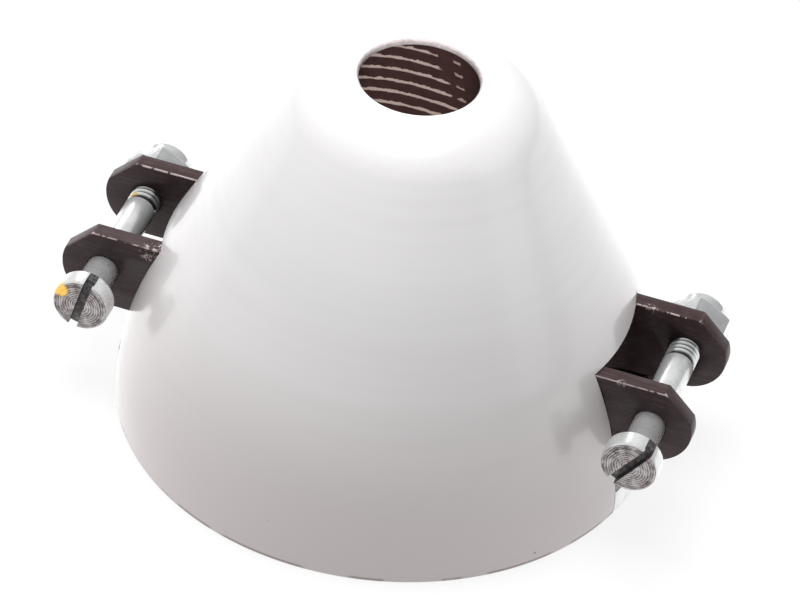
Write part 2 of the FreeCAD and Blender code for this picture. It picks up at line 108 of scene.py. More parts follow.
class Bench:
    """The hand tools: operators called with nothing but their own piece selected."""

    @staticmethod
    def clear() -> None:
        """Leave edit mode and let go of everything."""
        if bpy.context.mode != "OBJECT":
            bpy.ops.object.mode_set(mode="OBJECT")
        bpy.ops.object.select_all(action="DESELECT")

    @staticmethod
    def hold(piece: Piece) -> None:
        """Select one piece alone and make it active.

        Args:
            piece: The piece.
        """
        Bench.clear()
        piece.select_set(True)
        bpy.context.view_layer.objects.active = piece

    @staticmethod
    def edit(piece: Piece) -> None:
        """Open a piece in edit mode with all of it selected.

        Args:
            piece: The piece.
        """
        Bench.hold(piece)
        bpy.ops.object.mode_set(mode="EDIT")
        bpy.ops.mesh.select_all(action="SELECT")

    @staticmethod
    def keep(name: str) -> Piece:
        """Name the primitive just added and put its place and turn into its mesh.

        Args:
            name: The new piece's name.

        Returns:
            The piece, its object at the origin.
        """
        piece = bpy.context.active_object
        piece.name = name
        bpy.ops.object.transform_apply(location=True, rotation=True, scale=True)
        return piece

    @staticmethod
    def clean(piece: Piece) -> None:
        """Merge doubled points and turn every face outwards.

        Args:
            piece: The piece.
        """
        Bench.edit(piece)
        bpy.ops.mesh.remove_doubles(threshold=WELD)
        bpy.ops.mesh.normals_make_consistent(inside=False)
        Bench.clear()

    @staticmethod
    def turned(name: str, profile: Profile, segments: int, solid: bool = True) -> Piece:
        """Turn a profile round the Z axis, ring by ring.

        Args:
            name: The new piece's name.
            profile: Pairs of radius and height in millimetres.
            segments: How many sides each ring has.
            solid: Cap both ends; otherwise the profile must return to its first pair.

        Returns:
            The turned piece, closed.
        """
        Bench.clear()
        (radius, height), *rest = profile
        bpy.ops.mesh.primitive_circle_add(
            vertices=segments, radius=radius * MM, location=(0, 0, height * MM),
            fill_type="NGON" if solid else "NOTHING")
        piece = Bench.keep(name)
        Bench.edit(piece)
        bpy.ops.mesh.select_mode(type="EDGE")
        for next_radius, next_height in rest:
            bpy.ops.mesh.extrude_edges_move(
                TRANSFORM_OT_translate={"value": (0, 0, (next_height - height) * MM)})
            growth = next_radius / radius
            bpy.ops.transform.resize(value=(growth, growth, 1), center_override=(0, 0, 0))
            radius, height = next_radius, next_height
        if solid:
            bpy.ops.mesh.edge_face_add()
        bpy.ops.mesh.select_mode(type="VERT")
        Bench.clean(piece)
        return piece

    @staticmethod
    def block(name: str, low: Point, high: Point) -> Piece:
        """Add a box between two corners given in millimetres.

        Args:
            name: The new piece's name.
            low: Its lowest corner.
            high: Its highest corner.

        Returns:
            The box, with its place in its mesh.
        """
        Bench.clear()
        centre = [(a + b) / 2 * MM for a, b in zip(low, high)]
        span = [(b - a) * MM for a, b in zip(low, high)]
        bpy.ops.mesh.primitive_cube_add(size=1, location=centre, scale=span)
        return Bench.keep(name)

    @staticmethod
    def rod(name: str, radius: float, start: Point, end: Point, sides: int) -> Piece:
        """Add a straight rod between the centres of its two ends.

        Args:
            name: The new piece's name.
            radius: Radius in millimetres, to its corners where it is a prism.
            start: Centre of one end in millimetres.
            end: Centre of the other end.
            sides: How many sides it has.

        Returns:
            The rod, with its place in its mesh.
        """
        Bench.clear()
        a, b = Vector(start) * MM, Vector(end) * MM
        turn = (b - a).to_track_quat("Z", "Y").to_euler()
        bpy.ops.mesh.primitive_cylinder_add(
            vertices=sides, radius=radius * MM, depth=(b - a).length,
            location=(a + b) / 2, rotation=turn)
        return Bench.keep(name)

    @staticmethod
    def thread(name: str, crest: float, depth: float, pitch: float, low: float,
               turns: int) -> Piece:
        """Wind a triangular ridge round the Z axis as a right-hand thread.

        Args:
            name: The new piece's name.
            crest: Radius over the thread in millimetres.
            depth: How far the ridge stands above the core.
            pitch: Rise of one turn.
            low: Height at which the ridge starts.
            turns: Number of whole turns.

        Returns:
            The ridge, closed at both ends.
        """
        Bench.clear()
        bpy.ops.mesh.primitive_circle_add(
            vertices=3, radius=pitch * MM / math.sqrt(3), fill_type="NOTHING",
            rotation=(math.pi / 2, math.pi / 2, 0))
        piece = Bench.keep(name)
        Bench.edit(piece)
        squeeze = depth / (pitch * math.sqrt(3) / 2)
        bpy.ops.transform.resize(value=(squeeze, 1, THREAD_FIT), center_override=(0, 0, 0))
        tip = max(v.co.x for v in piece.data.vertices) * squeeze
        shift = (crest * MM - tip, 0, (low + pitch / 2) * MM)
        bpy.ops.transform.translate(value=shift)
        Bench.clear()
        winding = piece.modifiers.new("winding", "SCREW")
        winding.screw_offset = pitch * MM
        winding.iterations = turns
        winding.steps = winding.render_steps = THREAD_STEPS
        winding.use_merge_vertices = False
        Bench.apply(piece, winding)
        Bench.edit(piece)
        bpy.ops.mesh.select_all(action="DESELECT")
        bpy.ops.mesh.select_non_manifold()
        bpy.ops.mesh.fill()
        Bench.clean(piece)
        return piece

    @staticmethod
    def hex_bar(name: str, flats: float, low: float, high: float, barrel: Profile,
                sides: int) -> Piece:
        """Cut a hexagon bar to length and turn its corners off.

        Args:
            name: The new piece's name.
            flats: Width across the flats in millimetres.
            low: Height of its lower end.
            high: Height of its upper end.
            barrel: Profile that the corners are turned down to.
            sides: How many sides that barrel has.

        Returns:
            The bar, upright.
        """
        bar = Bench.rod(name, hexagon(flats)[0], (0, 0, low), (0, 0, high), 6)
        Bench.combine(bar, Bench.turned("barrel", barrel, sides), Joining.KEEP_COMMON)
        return bar

    @staticmethod
    def apply(piece: Piece, modifier: bpy.types.Modifier) -> None:
        """Apply one modifier of a piece."""
        Bench.hold(piece)
        bpy.ops.object.modifier_apply(modifier=modifier.name)

    @staticmethod
    def combine(piece: Piece, other: Piece, way: Joining) -> None:
        """Cut, fuse or intersect a piece with another solid, which is used up.

        Args:
            piece: The solid that stays.
            other: The solid that is used on it.
            way: What is done with it.
        """
        boolean = piece.modifiers.new(way.name.lower(), "BOOLEAN")
        boolean.operation = way.value
        boolean.solver = "EXACT"
        boolean.object = other
        Bench.apply(piece, boolean)
        bpy.data.objects.remove(other, do_unlink=True)

    @staticmethod
    def join(piece: Piece, *others: Piece) -> None:
        """Put other meshes into a piece as they are.

        Args:
            piece: The piece that stays.
            *others: The pieces that go into it.
        """
        Bench.hold(piece)
        for other in others:
            other.select_set(True)
        bpy.ops.object.join()

    @staticmethod
    def soften(piece: Piece, width: float, segments: int = 2, angle: float = 40.0,
               material: int = -1) -> None:
        """Round the sharp edges of a piece.

        Args:
            piece: The piece.
            width: Width of the rounding in millimetres.
            segments: How many faces the rounding has across.
            angle: Least angle, in degrees, of an edge that is rounded.
            material: Slot number of the new faces, or -1 to take their neighbours'.
        """
        bevel = piece.modifiers.new("rounding", "BEVEL")
        bevel.width = width * MM
        bevel.segments = segments
        bevel.limit_method = "ANGLE"
        bevel.angle_limit = math.radians(angle)
        bevel.use_clamp_overlap = True
        bevel.material = material
        Bench.apply(piece, bevel)

    @staticmethod
    def lay(piece: Piece, turn: Point, place: Point) -> None:
        """Turn a piece about the origin and put it in place, both in its mesh.

        Args:
            piece: The piece.
            turn: Angles about X, Y and Z in degrees.
            place: Shift in millimetres.
        """
        Bench.hold(piece)
        piece.rotation_euler = [math.radians(a) for a in turn]
        piece.location = Vector(place) * MM
        bpy.ops.object.transform_apply(location=True, rotation=True, scale=True)

    @staticmethod
    def smooth(piece: Piece, angle: float) -> None:
        """Shade a piece smooth, but for its sharp edges.

        Args:
            piece: The piece.
            angle: Least angle of a sharp edge in degrees.
        """
        Bench.hold(piece)
        bpy.ops.object.shade_smooth_by_angle(angle=math.radians(angle))
        Bench.clear()


# ---------------------------------------------------------------- finishes


class NodeBench:
    """The node tree of a material or a world, with short ways to add and join nodes."""

    def __init__(self, name: str, world: bool = False) -> None:
        """Start a material with its Principled shader, or a world with its background.

        Args:
            name: The material's or the world's name.
            world: Whether it is a world.
        """
        self.owner = (bpy.data.worlds if world else bpy.data.materials).new(name)
        self.owner.use_nodes = True
        self.tree = self.owner.node_tree
        self.shader = self.tree.nodes["Background" if world else "Principled BSDF"]

    def node(self, kind: str, inputs: dict[str | int, object] | None = None,
             **settings: object) -> bpy.types.Node:
        """Add a node.

        Args:
            kind: Its type without the ShaderNode prefix.
            inputs: Values or sockets for its inputs, by name or number.
            **settings: Its own properties.

        Returns:
            The new node.
        """
        made = self.tree.nodes.new("ShaderNode" + kind)
        for key, value in settings.items():
            setattr(made, key, value)
        for key, value in (inputs or {}).items():
            self.feed(made.inputs[key], value)
        return made

    def feed(self, socket: Socket, value: object) -> None:
        """Give a socket a value, or a link where the value is a socket.

        Args:
            socket: The input.
            value: What it gets.
        """
        if isinstance(value, Socket):
            self.tree.links.new(value, socket)
        else:
            socket.default_value = value

    def set(self, **values: object) -> None:
        """Set inputs of the shader; an underscore stands for a space."""
        for key, value in values.items():
            self.feed(self.shader.inputs[key.replace("_", " ")], value)

    def place(self, centre: Point = (0, 0, 0), scale: Point = (1, 1, 1)) -> Socket:
        """Object coordinates about a centre, stretched.

        Args:
            centre: The pattern's own origin in millimetres.
            scale: Factors along X, Y and Z.

        Returns:
            The mapped coordinates.
        """
        coordinates = self.node("TexCoord").outputs["Object"]
        shift = [-c * MM * s for c, s in zip(centre, scale)]
        return self.node("Mapping", {"Vector": coordinates, "Location": shift,
                                     "Scale": scale}).outputs["Vector"]

    def mm(self, centre: Point = (0, 0, 0)) -> Socket:
        """Object coordinates about a centre, in millimetres."""
        return self.place(centre, (1000, 1000, 1000))

    def split(self, vector: Socket) -> tuple[Socket, ...]:
        """The X, Y and Z of a vector."""
        return tuple(self.node("SeparateXYZ", {0: vector}).outputs)

    def sum(self, operation: str, *values: object) -> Socket:
        """One step of arithmetic on numbers or sockets."""
        return self.node("Math", dict(enumerate(values)), operation=operation).outputs[0]

    def apart(self, first: object, second: object) -> Socket:
        """How far two numbers are from each other."""
        return self.sum("ABSOLUTE", self.sum("SUBTRACT", first, second))

    def sway(self, noise: Socket, reach: float) -> Socket:
        """A noise made to swing about zero, times a reach."""
        return self.sum("MULTIPLY", self.sum("SUBTRACT", noise, 0.5), reach)

    def radius(self, first: Socket, second: Socket) -> Socket:
        """Distance from the axis that two coordinates are square to."""
        squares = [self.sum("POWER", value, 2.0) for value in (first, second)]
        return self.sum("SQRT", self.sum("ADD", *squares))

    def noise(self, vector: Socket, scale: float, detail: float = 3.0,
              rough: float = 0.5) -> Socket:
        """Noise from 0 to 1 at a scale."""
        return self.node("TexNoise", {"Vector": vector, "Scale": scale, "Detail": detail,
                                      "Roughness": rough}).outputs["Fac"]

    def step(self, value: object, low: float, high: float, start: float = 0.0,
             end: float = 1.0) -> Socket:
        """Run smoothly from start to end as a value goes from low to high."""
        return self.node("MapRange", {0: value, 1: low, 2: high, 3: start, 4: end},
                         interpolation_type="SMOOTHSTEP", clamp=True).outputs[0]

    def mix(self, factor: object, first: object, second: object) -> Socket:
        """Blend two colours.

        Args:
            factor: 0 for the first colour, 1 for the second.
            first: The first colour.
            second: The second colour.

        Returns:
            The blend.
        """
        made = self.node("Mix", data_type="RGBA", clamp_factor=True)
        for number, value in ((0, factor), (6, first), (7, second)):
            self.feed(made.inputs[number], value)
        return made.outputs[2]

    def near(self, spots: Spots) -> Socket | float:
        """1 close to any of some spots, fading out over the outer half of their radius.

        Args:
            spots: Pairs of a place and a radius in millimetres.

        Returns:
            The mask, or 0 where there are no spots.
        """
        mask: Socket | float = 0.0
        for point, radius in spots:
            offset = self.mm(point)
            distance = self.node("VectorMath", {0: offset}, operation="LENGTH").outputs["Value"]
            mask = self.sum("MAXIMUM", mask, self.step(distance, radius / 2, radius, 1.0, 0.0))
        return mask

    def bump(self, height: Socket, strength: float, depth: float,
             before: Socket | None = None) -> Socket:
        """Raise the surface by a height.

        Args:
            height: The height, from 0 to 1.
            strength: How strongly it shows.
            depth: What a height of 1 stands for, in millimetres.
            before: Normal of an earlier bump.

        Returns:
            The new normal.
        """
        made = self.node("Bump", {"Strength": strength, "Distance": depth * MM,
                                  "Height": height})
        if before is not None:
            self.feed(made.inputs["Normal"], before)
        return made.outputs["Normal"]


def grey(value: float, warm: float = 0.0) -> Colour:
    """A grey of a linear brightness, a little warmer or cooler."""
    return (value * (1 + warm), value, value * (1 - warm), 1.0)


class Finish:
    """A finish, which makes its own material."""

    def material(self) -> bpy.types.Material:
        """The finish's material."""
        raise NotImplementedError


@dataclass(frozen=True)
class ShellGloss(Finish):
    """White gloss shell: faint bands round it, dust and a painted contact shadow at the rim, and
    a warm tint darkened as painted shade towards it.
    """

    white: Colour = (0.70, 0.688, 0.695, 1.0)
    shade: Colour = (0.62, 0.605, 0.608, 1.0)
    # Warmer colour towards the rim, darkened there as painted shade of the lower flank.
    rim_tint_and_shade: Colour = (0.57, 0.512, 0.51, 1.0)
    # Colour of the dust specks and of the painted contact shadow.
    speck_and_shadow: Colour = (0.22, 0.17, 0.15, 1.0)
    tint_and_shade_height: float = 21.0
    speck_height: float = 5.0
    speck_edge: Pair = (0.035, 0.06)
    # Heights between which the painted contact shadow at the rim's foot fades out.
    contact_shadow_height: Pair = (0.12, 0.3)
    band_stretch: Point = (25, 25, 900)

    def material(self) -> bpy.types.Material:
        """The shell's outer material."""
        bench = NodeBench("shell_gloss")
        mm = bench.mm()
        _, _, z = bench.split(mm)
        bands = bench.noise(bench.place(scale=self.band_stretch), 1.0, 4.0, 0.6)
        clouds = bench.noise(mm, 0.12, 2.0)
        tone = bench.sum("MULTIPLY", bench.step(bands, 0.35, 0.7),
                         bench.step(clouds, 0.3, 0.7, 0.1, 0.3))
        colour = bench.mix(tone, self.white, self.shade)
        # Warmer and darker towards the rim; the darkening is painted shade.
        colour = bench.mix(bench.step(z, 0.0, self.tint_and_shade_height, 1.0, 0.0), colour,
                           self.rim_tint_and_shade)
        cells = bench.node("TexVoronoi", {"Vector": mm, "Scale": 0.42}).outputs["Distance"]
        near_rim = bench.step(z, 0.0, self.speck_height, 1.0, 0.0)
        dust_and_contact_shadow = bench.sum("MULTIPLY", bench.step(cells, *self.speck_edge, 1.0, 0.0), near_rim)
        # A broken dark line along the rim's foot is painted contact shadow.
        contact_shadow_line = bench.sum("MULTIPLY", bench.step(z, *self.contact_shadow_height, 0.8, 0.0),
                             bench.step(bench.noise(mm, 0.25, 3.0), 0.42, 0.52))
        dust_and_contact_shadow = bench.sum("MAXIMUM", dust_and_contact_shadow, contact_shadow_line)
        bench.set(Base_Color=bench.mix(dust_and_contact_shadow, colour, self.speck_and_shadow), Roughness=0.24,
                  IOR=1.5, Coat_Weight=0.5, Coat_Roughness=0.06,
                  Normal=bench.bump(bands, 0.12, 0.05))
        return bench.owner


@dataclass(frozen=True)
class ScoredBore(Finish):
    """Dark inside of the shell, with pale lines scored round it at an even pitch."""

    dark: Colour = (0.098, 0.046, 0.045, 1.0)
    cloud: Colour = (0.074, 0.040, 0.035, 1.0)
    pale: Colour = (0.80, 0.62, 0.56, 1.0)
    pitch: float = 1.94
    first: float = 14.23
    slant: float = 0.35
    width: float = 0.44
    wander: float = 0.5
    uneven: float = 0.35
    last_angle: float = 1.597
    last_level: float = 17.3
    last_tilt: float = -0.02
    last_ragged: float = 0.2
    last_soft: float = 0.02
    dash_angle: float = 1.59
    dash_ragged: float = 0.03
    dash_ends: Pair = (0.036, 0.042)
    dash_strength: float = 0.75

    def material(self) -> bpy.types.Material:
        """The shell's inner material."""
        bench = NodeBench("scored_bore")
        mm = bench.mm()
        x, y, z = bench.split(mm)
        ragged = bench.noise(mm, 1.3, 3.0)
        fine = bench.noise(mm, 2.2, 3.0, 0.6)
        level = bench.sum("MULTIPLY_ADD", x, self.slant, z)
        cycle = bench.sum("FRACT", bench.sum("DIVIDE", bench.sum(
            "SUBTRACT", bench.sum("ADD", level, bench.sway(fine, self.wander)), self.first),
            self.pitch))
        half = self.width / self.pitch / 2
        uneven = bench.step(bench.noise(mm, 1.1, 3.0), 0.3, 0.7, -self.uneven * half,
                            self.uneven * half)
        line = bench.step(bench.sum("ADD", bench.apart(cycle, 0.5), uneven), half * 0.8,
                          half * 1.2, 1.0, 0.0)
        around = bench.sum("ARCTAN2", y, x)
        angle = bench.sum("ADD", around, bench.sum(
            "MULTIPLY", bench.sum("SUBTRACT", level, self.last_level), self.last_tilt))
        reach = bench.sum("ADD", angle, bench.sway(ragged, self.last_ragged))
        kept = bench.step(reach, self.last_angle - self.last_soft,
                          self.last_angle + self.last_soft)
        off_dash = bench.sum("ADD", bench.apart(around, self.dash_angle),
                             bench.sum("MULTIPLY", fine, self.dash_ragged))
        dashes = bench.step(off_dash, *self.dash_ends, self.dash_strength, 0.0)
        scored = bench.sum("MULTIPLY", line, bench.sum("MAXIMUM", kept, dashes))
        stain = bench.mix(bench.step(ragged, 0.35, 0.65), self.dark, self.cloud)
        bench.set(Base_Color=bench.mix(scored, stain, self.pale), Roughness=0.6,
                  Normal=bench.bump(bench.noise(mm, 9.0), 0.3, 0.04))
        return bench.owner


@dataclass(frozen=True)
class RawLip(Finish):
    """Unpolished pinkish edge of the nose hole."""

    edge: Colour = (0.36, 0.315, 0.315, 1.0)
    rubbed: Colour = (0.48, 0.44, 0.44, 1.0)

    def material(self) -> bpy.types.Material:
        """The edge's material."""
        bench = NodeBench("raw_lip")
        mm = bench.mm()
        mottle = bench.noise(mm, 1.8, 4.0, 0.65)
        bench.set(Base_Color=bench.mix(bench.step(mottle, 0.35, 0.65), self.edge, self.rubbed),
                  Roughness=0.45, Normal=bench.bump(mottle, 0.3, 0.04))
        return bench.owner


@dataclass(frozen=True)
class BlackAnodised(Finish):
    """Purple-black anodised aluminium with fine streaks and chips, and pale top front edges,
    partly rubbed bare and partly painted highlight.
    """

    name: str = "black_anodised"
    top: float = 12.75
    rubbed: float = 0.0
    chips: Spots = (
        ((-18.3, -5.3, 12.3), 1.05), ((-17.5, -4.5, 12.75), 0.6), ((18.9, 4.0, 12.75), 0.62),
        ((19.5, -5.3, 12.75), 0.5))
    fronts: Pair = (-5.3, 4.0)
    edge_heights: Pair = (0.22, 0.12)
    edge_reach: Pair = (0.12, 0.2)
    streak_stretch: Point = (280, 7000, 5200)
    dark: Colour = (0.034, 0.018, 0.019, 1.0)
    light: Colour = (0.072, 0.050, 0.052, 1.0)
    bare_and_highlight: Colour = (0.46, 0.39, 0.38, 1.0)

    def material(self) -> bpy.types.Material:
        """The material; rubbed is how much of the top front edges is painted pale, partly as
        lost black and partly as painted highlight.
        """
        bench = NodeBench(self.name)
        mm = bench.mm()
        _, depth, height = bench.split(mm)
        clouds = bench.noise(mm, 0.7, 4.0, 0.65)
        streaks = bench.noise(bench.place(scale=self.streak_stretch), 1.0, 3.0)
        grain = bench.noise(mm, 14.0, 2.0)
        tone = bench.sum("MULTIPLY", bench.step(streaks, 0.35, 0.65, 0.25, 1.0),
                         bench.step(clouds, 0.35, 0.7, 0.2, 1.0))
        colour = bench.mix(tone, self.dark, self.light)
        flaked = bench.step(bench.noise(mm, 3.3, 3.0, 0.75), 0.53, 0.56)
        shown = bench.sum("MULTIPLY", bench.near(self.chips), flaked)
        # Pale top front edges: partly rubbed bare metal, partly painted highlight of the rounded
        # edges.
        if self.rubbed:
            along = bench.step(bench.noise(mm, 1.3, 4.0, 0.65), 0.62 - self.rubbed,
                               0.70 - self.rubbed)
            at_top = bench.step(height, *(self.top - down for down in self.edge_heights))
            gaps = [bench.apart(depth, front) for front in self.fronts]
            at_front = bench.step(bench.sum("MINIMUM", *gaps), *self.edge_reach, 1.0, 0.06)
            shown = bench.sum("MAXIMUM", shown, bench.sum(
                "MULTIPLY", along, bench.sum("MULTIPLY", at_top, at_front)))
        bench.set(Base_Color=bench.mix(shown, colour, self.bare_and_highlight),
                  Metallic=bench.sum("MULTIPLY", shown, 0.25),
                  Roughness=bench.step(clouds, 0.2, 0.8, 0.34, 0.5), IOR=1.28,
                  Normal=bench.bump(streaks, 0.2, 0.02, bench.bump(grain, 0.12, 0.01)))
        return bench.owner


@dataclass(frozen=True)
class RoughTurnedFace(Finish):
    """Zinc over a roughly turned screw face: wavy rings, with painted highlight on their crests
    and painted shade in their hollows.
    """

    name: str
    centre: Point
    stains: Spots = ()
    pitch: float = 0.2
    wander: float = 0.4
    break_up: Pair = (9.0, -4.7)
    # Ring colours: painted highlight on the crests, painted shade in the hollows.
    crest: Colour = (0.42, 0.40, 0.40, 1.0)
    hollow_shade: Colour = (0.10, 0.085, 0.082, 1.0)
    chromate: Colour = (0.85, 0.52, 0.12, 1.0)

    def material(self) -> bpy.types.Material:
        """The face's material, its rings centred on the screw."""
        bench = NodeBench(self.name)
        mm = bench.mm(self.centre)
        x, _, z = bench.split(mm)
        swirl = bench.sway(bench.noise(mm, 0.8, 3.0, 0.6), self.wander)
        turn = bench.sum("DIVIDE", bench.sum("ADD", bench.radius(x, z), swirl), self.pitch)
        wave = bench.sum("SINE", bench.sum("MULTIPLY", turn, math.tau))
        broken = bench.sum("MULTIPLY_ADD", bench.noise(mm, 1.7, 4.0, 0.7), *self.break_up)
        ring = bench.step(bench.sum("ADD", wave, broken), -2.0, 2.0)
        # The rings' light and dark are painted into the colour as highlight and shade.
        colour = bench.mix(ring, self.hollow_shade, self.crest)
        colour = bench.mix(bench.near(self.stains), colour, self.chromate)
        bench.set(Base_Color=colour, Metallic=0.9, Roughness=0.3,
                  Normal=bench.bump(ring, 0.5, 0.03))
        return bench.owner


@dataclass(frozen=True)
class SlotShade(Finish):
    """Painted shade in a driven slot, dark with lighter patches."""

    # Painted shade of the slot; rubbed is the colour of its lighter patches.
    painted_shade: Colour = (0.042, 0.038, 0.038, 1.0)
    rubbed: Colour = (0.15, 0.14, 0.14, 1.0)

    def material(self) -> bpy.types.Material:
        """The slot's material."""
        bench = NodeBench("slot_shade")
        mm = bench.mm()
        patches = bench.noise(mm, 2.4, 3.0, 0.6)
        # The slot is painted dark as shade, lighter in patches.
        bench.set(Base_Color=bench.mix(bench.step(patches, 0.4, 0.7), self.painted_shade, self.rubbed),
                  Metallic=0.4, Roughness=0.5, Normal=bench.bump(patches, 0.4, 0.03))
        return bench.owner


@dataclass(frozen=True)
class BrightMetal(Finish):
    """Plated or turned metal, with rings that a lathe tool left round one axis, and painted
    shade in a thread's roots where one is given.
    """

    name: str
    colour: Colour
    centre: Point = (0.0, 0.0, 0.0)
    along_y: bool = False
    ring_pitch: float = 0.16
    ring_depth: float = 0.02
    ring_wander: float = 1.2
    roughness: Pair = (0.16, 0.34)
    metallic: float = 1.0
    cloud_shade: float = 0.55
    # Colour of the thread's roots, painted shade; thread gives the radii over which it fades
    # into the metal.
    groove: Colour = grey(0.05)
    thread: Pair = (0.0, 0.0)
    stains: Spots = ()
    chromate: Colour = (0.80, 0.55, 0.20, 1.0)

    def material(self) -> bpy.types.Material:
        """The material, its rings centred on the piece."""
        bench = NodeBench(self.name)
        mm = bench.mm(self.centre)
        x, y, z = bench.split(mm)
        radius = bench.radius(x, z if self.along_y else y)
        clouds = bench.noise(mm, 0.9, 4.0, 0.6)
        wander = bench.sum("MULTIPLY", bench.noise(mm, 1.6, 3.0), self.ring_wander)
        phase = bench.sum("ADD", bench.sum("MULTIPLY", radius, math.tau / self.ring_pitch),
                          bench.sum("MULTIPLY", wander, math.tau))
        rings = bench.step(bench.sum("SINE", phase), -1.0, 1.0)
        colour = bench.mix(bench.step(clouds, 0.3, 0.75, 0.0, 0.35), self.colour,
                           tuple(c * self.cloud_shade for c in self.colour[:3]) + (1.0,))
        colour = bench.mix(bench.near(self.stains), colour, self.chromate)
        # Darken the thread's roots as painted shade in the grooves.
        if self.thread[1]:
            colour = bench.mix(bench.step(radius, *self.thread), self.groove, colour)
        bench.set(Base_Color=colour, Metallic=self.metallic,
                  Roughness=bench.step(clouds, 0.25, 0.75, *self.roughness),
                  Normal=bench.bump(rings, 0.6, self.ring_depth))
        return bench.owner


@dataclass(frozen=True)
class NaturalNylon(Finish):
    """Milky plastic of the locking rings."""

    cloudy: Colour = (0.66, 0.66, 0.64, 1)
    clear: Colour = (0.80, 0.80, 0.78, 1)

    def material(self) -> bpy.types.Material:
        """The rings' material."""
        bench = NodeBench("natural_nylon")
        mm = bench.mm()
        bench.set(Base_Color=bench.mix(bench.noise(mm, 1.2, 3.0), self.cloudy, self.clear),
                  Roughness=0.42, Subsurface_Weight=0.1,
                  Normal=bench.bump(bench.noise(mm, 8.0), 0.15, 0.02))
        return bench.owner


# ---------------------------------------------------------------- sub-assemblies


@dataclass
class Assembly:
    """A sub-assembly that rides on one body and reports what it made."""

    body: str

    def make(self) -> None:
        """Make the sub-assembly's pieces."""
        raise NotImplementedError

    def place(self, piece: Piece, slot: str, *nodes: str, angle: float = 32.0) -> None:
        """Shade a finished piece and hand it to its body in place of what it stands for.

        Args:
            piece: The finished piece.
            slot: Name of its material slot; not used.
            *nodes: The nodes that it replaces.
            angle: Edges sharper than this many degrees stay sharp.
        """
        Bench.smooth(piece, angle)
        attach(piece, self.body)
        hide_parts(*nodes)
        log.info("%s: %d faces on %s", piece.name, len(piece.data.polygons), self.body)

    @staticmethod
    def dress(piece: Piece, *finishes: Finish) -> None:
        """Give a piece its finishes, one to a slot.

        Args:
            piece: The piece.
            *finishes: The finishes, in the order of their slots.
        """
        piece.data.materials.clear()
        for finish in finishes:
            piece.data.materials.append(finish.material())


@dataclass
class ConeShell(Assembly):
    """The moulded shell: arc flank, straight flank, nose, rounded lip and two cut-outs."""

    flank_radius: float = 31.3
    flank_angle: float = 27.7
    nose_radius: float = 5.3
    crown_width: float = 0.69
    lip_radius: float = 0.25
    wall: float = 0.6
    cutout_width: float = 10.8
    cutout_height: float = 12.85
    hole_radius: float = 4.55
    hole_foot: Pair = (0.1, 0.12)
    flank_steps: tuple[int, int] = (14, 12)
    nose_steps: tuple[int, int] = (14, 8)
    straight_steps: int = 8
    lip_steps: int = 5
    inward: float = -0.2
    downward: float = -0.3
    ceiling_level: float = 25.0

    def sections(self) -> tuple[Profile, Profile]:
        """The outer profile from the rim up and the inner one from the lip down.

        Returns:
            Both profiles, in millimetres.
        """
        _, high = in_mm(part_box("spinner_cone"))
        centre = high.y - self.flank_radius
        angle = math.radians(self.flank_angle)
        top = high.z
        nose_x = self.hole_radius + self.crown_width
        nose_z = top - self.nose_radius

        def arc(x: float, z: float, radius: float, start: float, end: float, steps: int
                ) -> Profile:
            """Points of an arc between two angles."""
            angles = [start + (end - start) * i / steps for i in range(steps + 1)]
            return [(x + radius * math.cos(a), z + radius * math.sin(a)) for a in angles]

        outer = arc(centre, 0, self.flank_radius, 0, angle, self.flank_steps[0])
        nose = arc(nose_x, nose_z, self.nose_radius, angle, math.pi / 2, self.nose_steps[0])
        outer += self.straight(outer[-1], nose[0]) + nose[1:]
        lip = self.hole_radius + self.lip_radius
        outer += arc(lip, top - self.lip_radius, self.lip_radius, math.pi / 2, math.pi,
                     self.lip_steps)
        ceiling = top - self.wall
        inner = [(self.hole_radius, ceiling + self.hole_foot[1]),
                 (self.hole_radius + self.hole_foot[0], ceiling), (nose_x, ceiling)]
        inner += arc(nose_x, nose_z, self.nose_radius - self.wall, math.pi / 2, angle,
                     self.nose_steps[1])[1:]
        foot = arc(centre, 0, self.flank_radius - self.wall, angle, 0, self.flank_steps[1])
        inner += self.straight(inner[-1], foot[0]) + foot[1:]
        return outer, inner

    def straight(self, start: Pair, end: Pair) -> Profile:
        """Even points from just after the start to the end of a straight flank."""
        return [tuple(a + (b - a) * i / self.straight_steps for a, b in zip(start, end))
                for i in range(1, self.straight_steps + 1)]

    def make(self) -> None:
        """Turn the shell, cut its openings and paint it outside and inside."""
        outer, inner = self.sections()
        piece = Bench.turned("gloss_shell", outer + inner + [outer[0]], RIM_SIDES, False)
        reach = outer[0][0] + 2 * OVERSHOOT
        half = self.cutout_width / 2
        opening = Bench.block("opening", (-reach, -half, -OVERSHOOT),
                              (reach, half, self.cutout_height))
        Bench.combine(piece, opening, Joining.CUT)
        self.dress(piece, ShellGloss(), ScoredBore(), RawLip())
        lip_foot = (outer[-1][1] - self.wall) * MM
        for face in piece.data.polygons:
            outward = face.normal.x * face.center.x + face.normal.y * face.center.y
            inside = outward < self.inward * math.hypot(face.center.x, face.center.y)
            ceiling = (face.normal.z < self.downward
                       and face.center.z > self.ceiling_level * MM)
            face.material_index = int(inside or ceiling)
            if inside and face.center.z > lip_foot:
                face.material_index = 2
        self.place(piece, "shell", "spinner_cone", angle=35)


@dataclass(frozen=True)
class ArmEnd:
    """One end of the yoke: its side, its pivot axis and its top face, in millimetres."""

    side: Side
    reach: float
    height: float
    top: float


